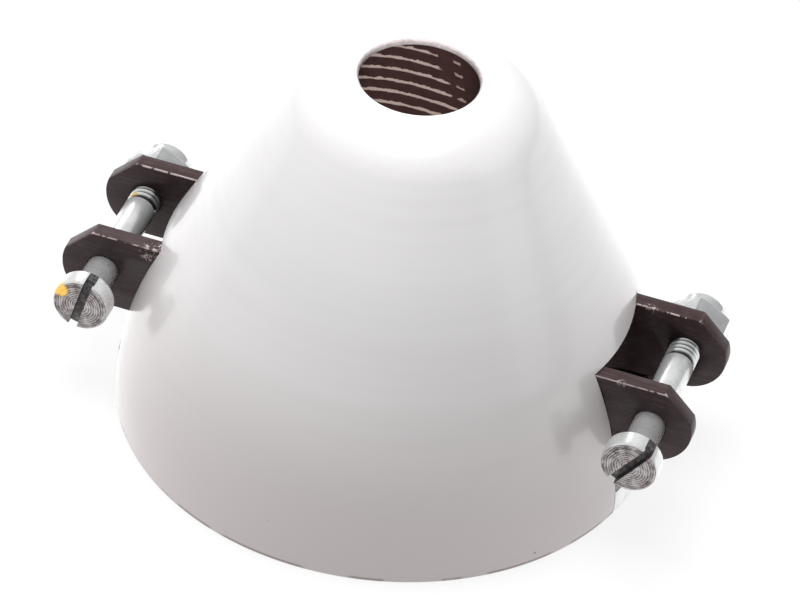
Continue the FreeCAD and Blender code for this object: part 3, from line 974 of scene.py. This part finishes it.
@dataclass
class BladeYoke(Assembly):
    """The milled bar with a clevis at each end, its turned foot and its taper bore."""

    arm_width: float = 10.6
    blade_gap: float = 8.0
    blade_root_depth: float = 8.05
    ear_radius: float = 3.33
    ear_steps: int = 16
    ear_flat: float = 0.95
    chamfer_angle: float = 45.0
    chamfer_steps: tuple[float, ...] = (0.0, 6.0, 12.0, 17.5)
    pivot_hole: float = 2.6
    foot_height: float = 4.5
    plate_thick: float = 2.0
    spigot_radius: float = 5.2
    stud_hole: float = 3.2
    taper_top: float = 11.0
    taper_radii: Pair = (4.2, 3.42)
    edge_round: float = 0.11

    def make(self) -> None:
        """Mill the bar, turn the foot, bore both, round the edges and paint the top front ones
        pale, partly as wear and partly as painted highlight.
        """
        low, high = in_mm(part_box("blade_yoke"))
        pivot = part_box("pivot_screw_right")
        reach, height = ((pivot[0] + pivot[1]) / 2 / MM).xz
        ends = [ArmEnd(side, reach, height, high.z) for side in Side]
        half = self.arm_width / 2
        bottom = height - self.ear_radius
        bar = Bench.block("anodised_yoke", (low.x, -half, bottom), (high.x, half, high.z))
        self.round_ends(bar, bottom * MM)
        for end in ends:
            self.chamfer_end(bar, end)
        foot = Bench.turned("foot", [
            (self.spigot_radius, low.z), (self.spigot_radius, self.plate_thick),
            (high.y, self.plate_thick), (high.y, self.plate_thick + self.foot_height)],
            FOOT_SIDES)
        Bench.combine(bar, foot, Joining.FUSE)
        bore = Bench.turned("bore", [
            (self.taper_radii[0], low.z - OVERSHOOT), (self.taper_radii[1], self.taper_top),
            (self.stud_hole, self.taper_top), (self.stud_hole, high.z + OVERSHOOT)], BORE_SIDES)
        Bench.combine(bar, bore, Joining.CUT)
        for end in ends:
            self.cut_clevis(bar, end)
        Bench.clean(bar)
        # The second finish paints the rounded edges' top front band pale, partly as wear and
        # partly as painted highlight.
        self.dress(bar, BlackAnodised(), BlackAnodised("rubbed_edges_and_highlight", rubbed=0.17))
        Bench.soften(bar, self.edge_round, angle=32, material=1)
        self.place(bar, "anodised", "blade_yoke", angle=30)

    def round_ends(self, bar: Piece, bottom: float) -> None:
        """Round the lower corner of each end about the pivot axis.

        Args:
            bar: The bar.
            bottom: Height of its underside in metres.
        """

        def level(first: float, second: float) -> bool:
            """Whether two coordinates are the same."""
            return abs(first - second) < SAME

        Bench.edit(bar)
        bpy.ops.mesh.select_all(action="DESELECT")
        bpy.ops.mesh.select_mode(type="EDGE")
        bpy.ops.object.mode_set(mode="OBJECT")
        for edge in bar.data.edges:
            a, b = (bar.data.vertices[i].co for i in edge.vertices)
            edge.select = level(a.z, bottom) and level(b.z, bottom) and level(a.x, b.x)
        bpy.ops.object.mode_set(mode="EDIT")
        bpy.ops.mesh.bevel(offset=self.ear_radius * MM, offset_type="OFFSET",
                           segments=self.ear_steps, profile=0.5, affect="EDGES")
        bpy.ops.mesh.select_mode(type="VERT")
        Bench.clear()

    def chamfer_end(self, bar: Piece, end: ArmEnd) -> None:
        """Mill the top corner of one end and round on from it to the tip.

        Args:
            bar: The bar.
            end: Which end.
        """
        planes = [(end.reach + self.ear_flat, end.top, math.radians(self.chamfer_angle))]
        for angle in map(math.radians, self.chamfer_steps):
            planes.append((end.reach + self.ear_radius * math.cos(angle),
                           end.height + self.ear_radius * math.sin(angle), angle))
        way = end.side.value
        for x, z, angle in planes:
            normal = (way * math.cos(angle), 0, math.sin(angle))
            Bench.edit(bar)
            bpy.ops.mesh.bisect(plane_co=(way * x * MM, 0, z * MM), plane_no=normal,
                                use_fill=True, clear_outer=True, threshold=WELD)
        Bench.clear()

    def cut_clevis(self, bar: Piece, end: ArmEnd) -> None:
        """Mill the blade's gap and drill the pivot hole of one end.

        Args:
            bar: The bar.
            end: Which end.
        """
        radius, way, over = self.blade_gap / 2, end.side.value, end.top + OVERSHOOT
        centre = way * (end.reach - self.blade_root_depth + radius)
        mouth = way * (end.reach + 2 * self.ear_radius)
        gap = Bench.block("gap", (min(centre, mouth), -radius, -OVERSHOOT),
                          (max(centre, mouth), radius, over))
        floor = Bench.rod("floor", radius, (centre, 0, -OVERSHOOT), (centre, 0, over),
                          SMALL_SIDES)
        Bench.combine(gap, floor, Joining.FUSE)
        Bench.combine(bar, gap, Joining.CUT)
        x = way * end.reach
        drill = Bench.rod("drill", self.pivot_hole / 2, (x, -self.arm_width, end.height),
                          (x, self.arm_width, end.height), PIN_SIDES)
        Bench.combine(bar, drill, Joining.CUT)


@dataclass
class SlottedScrew(Assembly):
    """What both kinds of screw share: a turned blank, a sawn slot and a wound thread."""

    shank_radius: float = 1.0
    pitch: float = 0.4
    thread_depth: float = 0.22
    slot_angle: float = 0.0
    slot_width: float = 0.5
    slot_depth: float = 0.45
    slot_reach: float = 3.0

    @property
    def root(self) -> float:
        """Radius of the core, which the thread's ridge sinks into a little."""
        return self.shank_radius - self.thread_depth + 0.02

    def cut(self, name: str, blank: Profile, sides: int, face: float, edge: float,
            thread: Pair) -> Piece:
        """Turn a screw about Z with its head down, saw its slot and wind its thread.

        Args:
            name: The screw's name.
            blank: The profile that it is turned to.
            sides: How many sides it has.
            face: Height of the head's face.
            edge: Width of its rounded edges.
            thread: Where the thread starts, and how much room it has.

        Returns:
            The screw, upright.
        """
        piece = Bench.turned(name, blank, sides)
        half = self.slot_width / 2
        slot = Bench.block("slot", (-self.slot_reach, -half, face - OVERSHOOT),
                           (self.slot_reach, half, face + self.slot_depth))
        Bench.lay(slot, (0, 0, -self.slot_angle), (0, 0, 0))
        Bench.combine(piece, slot, Joining.CUT)
        Bench.soften(piece, edge, angle=50)
        start, room = thread
        Bench.join(piece, Bench.thread("thread", self.shank_radius, self.thread_depth,
                                       self.pitch, start, int(room / self.pitch)))
        return piece


@dataclass
class PivotScrew(SlottedScrew):
    """A slotted cheese-head screw, its face turned rough and its end threaded."""

    side: Side = Side.RIGHT
    shank_radius: float = 1.25
    pitch: float = 0.45
    thread_depth: float = 0.27
    slot_width: float = 0.7
    slot_depth: float = 0.7
    head_radius: float = 2.25
    head_height: float = 1.6
    groove_radii: tuple[float, ...] = (1.72, 1.78, 1.84, 1.90)
    groove_depth: float = 0.07
    face_radius: float = 2.15
    thread_start: float = 11.2
    stains: Spots = ()

    def make(self) -> None:
        """Turn the screw, cut its slot, wind its thread and lay it on its pivot."""
        node = f"pivot_screw_{self.side.word}"
        low, high = in_mm(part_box(node))
        length = high.y - low.y - self.head_height
        head, shank, root = self.head_radius, self.shank_radius, self.root
        face, start = -self.head_height, self.thread_start
        groove = zip(self.groove_radii, (0.02, self.groove_depth, self.groove_depth, 0))
        blank = [(radius, face + depth) for radius, depth in groove]
        blank += [
            (head - 0.12, face + 0.04), (head - 0.03, face + 0.13), (head, face + 0.3),
            (head, -0.12), (head - 0.08, -0.02), (head - 0.2, 0.0), (shank + 0.1, 0.0),
            (shank + 0.03, 0.04), (shank, 0.12), (shank, start), (root, start + 0.25),
            (root, length - 0.3), (root - 0.25, length)]
        piece = self.cut(f"{node}_dressed", blank, SCREW_SIDES, face, 0.05,
                         (start + 0.1, length - 0.35 - start))
        middle = (low + high) / 2
        centre = (middle.x, low.y + self.head_height, middle.z)
        Bench.lay(piece, (-90, 0, 0), centre)
        self.dress(
            piece,
            BrightMetal(f"{node}_zinc", (0.75, 0.765, 0.76, 1.0), centre, True, 0.4, 0.003,
                        roughness=(0.2, 0.3), metallic=0.65, stains=self.stains,
                        thread=(root + 0.02, shank - 0.06)),
            RoughTurnedFace(f"{node}_face", centre, self.stains), SlotShade())
        self.mark_faces(piece, Vector(centre) * MM)
        self.place(piece, "zinc", node)

    def mark_faces(self, piece: Piece, seat: Vector) -> None:
        """Give the turned face its material, with painted ring highlight and shade, and the slot
        its painted shade.

        Args:
            piece: The screw where it lies, its head towards -Y.
            seat: Centre of the head's underside.
        """
        face = (-self.head_height + 0.1) * MM
        angle = math.radians(self.slot_angle)
        across = Vector((math.sin(angle), 0, -math.cos(angle)))
        in_slot = (self.slot_width / 2 + 0.02) * MM
        on_face = self.face_radius * MM
        for polygon in piece.data.polygons:
            spot = polygon.center - seat
            if spot.y < 0 and abs(spot.dot(across)) < in_slot:
                polygon.material_index = 2
            elif (polygon.normal.y < -0.5 and spot.y < face
                  and math.hypot(spot.x, spot.z) < on_face):
                polygon.material_index = 1


@dataclass
class LockNut(Assembly):
    """A hexagon nut with a rounded collar that holds a plastic ring."""

    side: Side = Side.RIGHT
    flats: float = 5.0
    hex_height: float = 2.3
    collar_radius: float = 2.25
    bore_radius: float = 1.3
    ring_radius: float = 1.8
    ring_gap: float = 0.02
    ring_height: float = 1.1

    def make(self) -> None:
        """Make the nut and its ring and lay them on the pivot."""
        node = f"lock_nut_{self.side.word}"
        low, high = in_mm(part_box(node))
        height = high.y - low.y
        corner, drop = hexagon(self.flats)
        face, top, reach = self.flats / 2 - 0.05, self.hex_height, self.collar_radius
        nut = Bench.hex_bar(f"{node}_dressed", self.flats, 0, top, [
            (face - 0.05, 0), (face, 0), (corner, drop), (corner, top - drop), (face, top)],
            SCREW_SIDES)
        seat = height - self.ring_height
        collar = Bench.turned("collar", [
            (reach + 0.06, top - 0.2), (reach, top + 0.12), (reach, height - 0.6),
            (reach - 0.06, height - 0.3), (reach - 0.2, height - 0.09),
            (reach - 0.36, height)], SCREW_SIDES)
        Bench.combine(nut, collar, Joining.FUSE)
        pocket = self.ring_radius + self.ring_gap
        bore = Bench.turned("bore", [
            (self.bore_radius + 0.25, -0.1), (self.bore_radius, 0.2), (self.bore_radius, seat),
            (pocket, seat), (pocket, height + 0.2)], SMALL_SIDES)
        Bench.combine(nut, bore, Joining.CUT)
        Bench.soften(nut, 0.05)
        ring = Bench.turned(f"nut_ring_{self.side.word}_dressed", [
            (self.bore_radius, seat), (self.ring_radius, seat),
            (self.ring_radius, height - 0.1), (self.ring_radius - 0.08, height - 0.03),
            (self.bore_radius + 0.12, height - 0.03), (self.bore_radius, height - 0.15),
            (self.bore_radius, seat)], SMALL_SIDES, False)
        middle = (low + high) / 2
        centre = (middle.x, low.y, middle.z)
        for piece in (nut, ring):
            Bench.lay(piece, (-90, 0, 0), centre)
        self.dress(nut, BrightMetal(f"{node}_zinc", grey(0.64, -0.01), centre, True, 0.25,
                                    0.006, roughness=(0.10, 0.20), metallic=0.9))
        self.dress(ring, NaturalNylon())
        self.place(nut, "zinc", node)
        self.place(ring, "ring", f"nut_ring_{self.side.word}")


@dataclass
class BackPlate(Assembly):
    """The turned plate with its two driving lugs, four vents and screw holes."""

    lug_width: float = 10.6
    lug_bulge: float = 0.063
    register_radius: float = 20.25
    hole_radius: float = 5.23
    vent_radius: float = 2.5
    vent_count: int = 4
    vent_reach: float = 15.1
    screw_reach: float = 7.7
    screw_hole: float = 1.1
    screw_head: float = 2.0
    edge_round: float = 0.08

    def make(self) -> None:
        """Turn the plate, mill its lugs and drill its holes."""
        low, high = in_mm(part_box("back_plate"))
        thick = high.z
        disc = Bench.turned("turned_plate", [
            (self.register_radius, 0), (self.register_radius, thick)], RIM_SIDES)
        lug = Bench.block("lug", (low.x - OVERSHOOT, -self.lug_width / 2, 0),
                          (high.x + OVERSHOOT, self.lug_width / 2, thick))
        reach = high.x + self.lug_bulge
        rim = Bench.turned("rim", [(reach, -OVERSHOOT), (reach, thick + OVERSHOOT)], RIM_SIDES)
        Bench.combine(lug, rim, Joining.KEEP_COMMON)
        Bench.combine(disc, lug, Joining.FUSE)
        holes = [(0.0, 0.0, self.hole_radius)]
        for number in range(self.vent_count):
            angle = math.tau * (number + 0.5) / self.vent_count
            holes.append((self.vent_reach * math.cos(angle), self.vent_reach * math.sin(angle),
                          self.vent_radius))
        for x, y, radius in holes:
            drill = Bench.rod("drill", radius, (x, y, -OVERSHOOT), (x, y, thick + OVERSHOOT),
                              BORE_SIDES)
            Bench.combine(disc, drill, Joining.CUT)
        for way in (-1, 1):
            sink = Bench.turned("sink", [
                (self.screw_head + 0.5, -0.5),
                (self.screw_hole, self.screw_head - self.screw_hole),
                (self.screw_hole, thick + OVERSHOOT)], SMALL_SIDES)
            Bench.lay(sink, (0, 0, 0), (0, way * self.screw_reach, 0))
            Bench.combine(disc, sink, Joining.CUT)
        Bench.clean(disc)
        Bench.soften(disc, self.edge_round)
        self.dress(disc, BrightMetal("turned_aluminium", grey(0.62), ring_pitch=0.35,
                                     ring_depth=0.012, ring_wander=0.1, roughness=(0.3, 0.42)))
        self.place(disc, "plate", "back_plate", angle=30)


@dataclass
class ShaftClamp(Assembly):
    """The split brass collet, its threaded stud, and the steel washer and nut on it."""

    shaft_radius: float = 2.5
    shaft_depth: float = 10.5
    taper_radii: Pair = (4.2, 3.4)
    taper_length: float = 11.0
    stud_radius: float = 3.0
    pitch: float = 0.75
    slit_width: float = 0.6
    slit_length: float = 9.5
    slit_reach: float = 5.0
    nut_flats: float = 10.0
    steel: Colour = grey(0.58)

    def make(self) -> None:
        """Make the collet, the washer and the nut."""
        self.make_collet()
        self.make_washer()
        self.make_nut()

    def make_collet(self) -> None:
        """Turn the collet, slit it four ways and wind its thread."""
        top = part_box("shaft_collet")[1].z / MM
        start, depth = self.taper_length + 0.3, 0.42
        root = self.stud_radius - depth + 0.03
        rear, front = self.taper_radii
        collet = Bench.turned("split_collet", [
            (self.shaft_radius + 0.2, 0), (rear - 0.15, 0), (rear - 0.01, 0.15),
            (front + 0.05, self.taper_length - 0.1), (front - 0.05, self.taper_length),
            (self.stud_radius, self.taper_length), (self.stud_radius, start),
            (root, start + 0.4), (root, top - 0.4), (root - 0.3, top), (0.4, top)],
            BORE_SIDES)
        bore = Bench.turned("bore", [
            (self.shaft_radius + 0.3, -0.1), (self.shaft_radius, 0.2),
            (self.shaft_radius, self.shaft_depth), (0.3, self.shaft_depth + 1.2)],
            SCREW_SIDES)
        Bench.combine(collet, bore, Joining.CUT)
        half = self.slit_width / 2
        reach = self.slit_reach
        for x, y in ((reach, half), (half, reach)):
            slit = Bench.block("slit", (-x, -y, -OVERSHOOT), (x, y, self.slit_length))
            Bench.combine(collet, slit, Joining.CUT)
        Bench.soften(collet, 0.05, segments=1, angle=50)
        turns = int((top - 0.5 - start) / self.pitch)
        Bench.join(collet, Bench.thread("stud_thread", self.stud_radius, depth, self.pitch,
                                        start + 0.1, turns))
        self.dress(collet, BrightMetal("turned_brass", (0.70, 0.50, 0.24, 1), ring_pitch=0.3,
                                       ring_depth=0.008, ring_wander=0.1,
                                       roughness=(0.22, 0.36)))
        self.place(collet, "collet", "shaft_collet")

    def make_washer(self) -> None:
        """Turn the washer, its edges broken."""
        low, high = in_mm(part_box("collet_washer"))
        inner, outer = self.stud_radius + 0.2, high.x
        washer = Bench.turned("bright_washer", [
            (inner, low.z), (outer - 0.1, low.z), (outer, low.z + 0.1), (outer, high.z - 0.2),
            (outer - 0.2, high.z), (inner + 0.1, high.z), (inner, high.z - 0.1),
            (inner, low.z)], BORE_SIDES, False)
        self.dress(washer, BrightMetal("washer_steel", self.steel, ring_pitch=0.3,
                                       ring_depth=0.006, ring_wander=0.3))
        self.place(washer, "steel", "collet_washer", angle=30)

    def make_nut(self) -> None:
        """Make the hexagon nut, its corners turned off and its bore threaded."""
        low, high = in_mm(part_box("collet_nut"))
        corner, drop = hexagon(self.nut_flats)
        nut = Bench.hex_bar("collet_nut_dressed", self.nut_flats, low.z, high.z, [
            (corner, low.z), (corner, high.z - drop), (self.nut_flats / 2 - 0.1, high.z)],
            BORE_SIDES)
        narrow, wide = self.stud_radius + 0.03, self.stud_radius + 0.5
        bore = Bench.turned("bore", [
            (wide, low.z - 0.2), (narrow, low.z + 0.3), (narrow, high.z - 0.3),
            (wide, high.z + 0.2)], SCREW_SIDES)
        Bench.combine(nut, bore, Joining.CUT)
        Bench.soften(nut, 0.08)
        self.dress(nut, BrightMetal("nut_steel", self.steel, ring_pitch=0.4, ring_depth=0.006,
                                    ring_wander=0.2))
        self.place(nut, "steel", "collet_nut", angle=30)


@dataclass
class PlateScrew(SlottedScrew):
    """A slotted countersunk screw that holds the plate to the yoke."""

    node: str = "plate_screw_front"
    head_radius: float = 1.9

    def make(self) -> None:
        """Turn the screw, cut its slot, wind its thread and put it in its hole."""
        low, high = in_mm(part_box(self.node))
        head, shank, root, length = self.head_radius, self.shank_radius, self.root, high.z
        cone = head - shank
        blank = [(head - 0.08, 0), (head - 0.02, 0.04), (shank, cone), (shank, cone + 0.15),
                 (root, cone + 0.35), (root, length - 0.2), (root - 0.2, length)]
        piece = self.cut(f"{self.node}_dressed", blank, SMALL_SIDES, 0, 0.04,
                         (cone + 0.2, length - cone - 0.5))
        centre = (0, ((low + high) / 2).y, 0)
        Bench.lay(piece, (0, 0, 0), centre)
        self.dress(piece, BrightMetal(f"{self.node}_steel", grey(0.6), centre, ring_pitch=0.2,
                                      ring_depth=0.008, ring_wander=0.3))
        self.place(piece, "steel", self.node)


# ---------------------------------------------------------------- studio


def add_light(kind: str, name: str, place: Vector, target: Vector, power: float,
              mirrored: bool) -> bpy.types.Light:
    """Add a light that faces a point.

    Args:
        kind: AREA or SPOT.
        name: Its name.
        place: Its place in metres.
        target: The point that it faces, in metres.
        power: Its power in watts.
        mirrored: Whether gloss and metal show it.

    Returns:
        The light's own settings.
    """
    Bench.clear()
    bpy.ops.object.light_add(type=kind, location=place)
    light = bpy.context.active_object
    light.name = name
    light.visible_glossy = mirrored
    light.data.energy = power
    light.rotation_euler = (target - place).to_track_quat("-Z", "Y").to_euler()
    return light.data


@dataclass(frozen=True)
class Softbox:
    """A rectangular light that faces the spinner: place and sides in metres, power in watts."""

    name: str
    place: Point
    sides: Pair
    power: float
    mirrored: bool = True
    target: Point = (0.0, 0.0, 0.015)

    def hang(self) -> None:
        """Hang the light."""
        light = add_light("AREA", self.name, Vector(self.place), Vector(self.target),
                          self.power, self.mirrored)
        light.shape = "RECTANGLE"
        light.size, light.size_y = self.sides


@dataclass(frozen=True)
class NoseSpot:
    """A spot at the camera that points at the nose hole, and that gloss doesn't show.

    Its circle has its radius at the nose, which it passes on the right by some millimetres.
    """

    name: str
    aside: float
    radius: float
    blend: float
    power: float
    forward: float = 0.5
    drop: float = 0.4
    lamp_radius: float = 0.001

    def hang(self) -> None:
        """Hang the spot beside the camera, which is there already."""
        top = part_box("spinner_cone")[1].z
        target = Vector((self.aside * MM, -self.forward * MM, top - self.drop * MM))
        place = bpy.context.scene.camera.matrix_world.translation
        light = add_light("SPOT", self.name, place, target, self.power, False)
        light.spot_size = 2 * math.atan(self.radius * MM / (target - place).length)
        light.spot_blend = self.blend
        light.shadow_soft_size = self.lamp_radius


@dataclass
class Studio:
    """A pale floor, soft lights and the camera."""

    azimuth: float = 14.95
    elevation: float = 39.62
    roll: float = 6.11
    distance: float = 431.6
    shift: Pair = (1.13, 7.65)
    lens: float = 249.64
    sensor: float = 36.0
    clip: Pair = (0.01, 20.0)
    floor_size: float = 3.0
    floor_level: float = -0.0001
    floor_glow: float = 0.82
    backlight: float = 0.46
    backlight_depth: Pair = (-0.05, -0.005)
    sky: float = 0.115
    sky_in_gloss: float = 0.95
    sky_sides: Pair = (-0.2, 0.8)
    softboxes: tuple[Softbox, ...] = (
        Softbox("overhead", (-0.08, 0.03, 0.62), (0.46, 0.46), 5.3, mirrored=False),
        Softbox("back_strip", (-0.36, 0.59, 0.38), (0.16, 0.42), 0.55),
        Softbox("left_panel", (-0.75, -0.20, 0.30), (0.6, 0.5), 1.05, mirrored=False),
        Softbox("right_panel", (0.75, 0.05, 0.30), (0.5, 0.5), 0.46))
    spots: tuple[NoseSpot, ...] = (NoseSpot("nose_spot", 0.0, 4.9, 0.3, 7.4),
                                   NoseSpot("nose_glow", 4.0, 21.0, 1.0, 1.5))

    def make(self) -> None:
        """Set up the floor, the sky, the camera and the lights."""
        self.lay_floor()
        self.light_sky()
        self.add_camera()
        for light in self.softboxes + self.spots:
            light.hang()

    def lay_floor(self) -> None:
        """Lay a large pale floor that glows, brighter towards the back for gloss to mirror."""
        Bench.clear()
        bpy.ops.mesh.primitive_grid_add(x_subdivisions=8, y_subdivisions=8,
                                        size=self.floor_size,
                                        location=(0, 0, self.floor_level))
        floor = Bench.keep("pale_floor")
        bench = NodeBench("pale_floor")
        mottle = bench.noise(bench.place(), 6.0, 2.0)
        _, depth, _ = bench.split(bench.place())
        backlight = bench.step(depth, *self.backlight_depth, 0.0, self.backlight)
        in_gloss = bench.node("LightPath").outputs["Is Glossy Ray"]
        bench.set(Base_Color=bench.mix(mottle, grey(0.13), grey(0.15)), Roughness=0.7,
                  Emission_Color=grey(1.0), Emission_Strength=bench.sum(
                      "MULTIPLY_ADD", in_gloss, backlight, self.floor_glow))
        floor.data.materials.append(bench.owner)

    def light_sky(self) -> None:
        """Fill the room with faint even light, and a brighter sky for gloss to mirror."""
        bench = NodeBench("soft_room", world=True)
        x, _, _ = bench.split(bench.node("TexCoord").outputs["Generated"])
        bright = bench.step(x, *self.sky_sides, self.sky_in_gloss, self.sky_in_gloss / 2)
        in_gloss = bench.node("LightPath").outputs["Is Glossy Ray"]
        strength = bench.node("MapRange", {0: in_gloss, 3: self.sky, 4: bright}).outputs[0]
        bench.set(Color=grey(1.0), Strength=strength)
        bpy.context.scene.world = bench.owner
        bpy.context.scene.view_settings.view_transform = "Standard"

    def add_camera(self) -> None:
        """Add the camera, tilted a little about its own axis."""
        a, e, r = (math.radians(v) for v in (self.azimuth, self.elevation, self.roll))
        back = Vector((math.sin(a) * math.cos(e), -math.cos(a) * math.cos(e), math.sin(e)))
        level = Vector((math.cos(a), math.sin(a), 0))
        upright = back.cross(level)
        right = level * math.cos(r) + upright * math.sin(r)
        up = upright * math.cos(r) - level * math.sin(r)
        place = (back * self.distance + right * self.shift[0] + up * self.shift[1]) * MM
        turn = Matrix((right, up, back)).transposed().to_4x4()
        Bench.clear()
        bpy.ops.object.camera_add()
        camera = bpy.context.active_object
        camera.name = "studio_camera"
        camera.matrix_world = Matrix.Translation(place) @ turn
        camera.data.sensor_width = self.sensor
        camera.data.lens = self.lens
        camera.data.clip_start, camera.data.clip_end = self.clip
        bpy.context.scene.camera = camera


def main() -> None:
    """Build every sub-assembly, then the studio."""
    assemblies: list[Assembly] = [
        ConeShell("hub"), BladeYoke("hub"), BackPlate("hub"), ShaftClamp("hub"),
        PlateScrew("hub", node="plate_screw_front"), PlateScrew("hub", node="plate_screw_rear")]
    yellowed = (((-23.7, -10.0, 10.5), 0.8), ((-22.9, 3.1, 10.5), 0.6))
    for side, angle, stains in ((Side.RIGHT, 54.0, ()), (Side.LEFT, 76.0, yellowed)):
        assemblies.append(PivotScrew(f"{side.word}_screw", side=side, slot_angle=angle,
                                     stains=stains))
        assemblies.append(LockNut(f"{side.word}_nut", side))
    for assembly in assemblies:
        assembly.make()
    Studio().make()


if __name__ == "__main__":
    main()
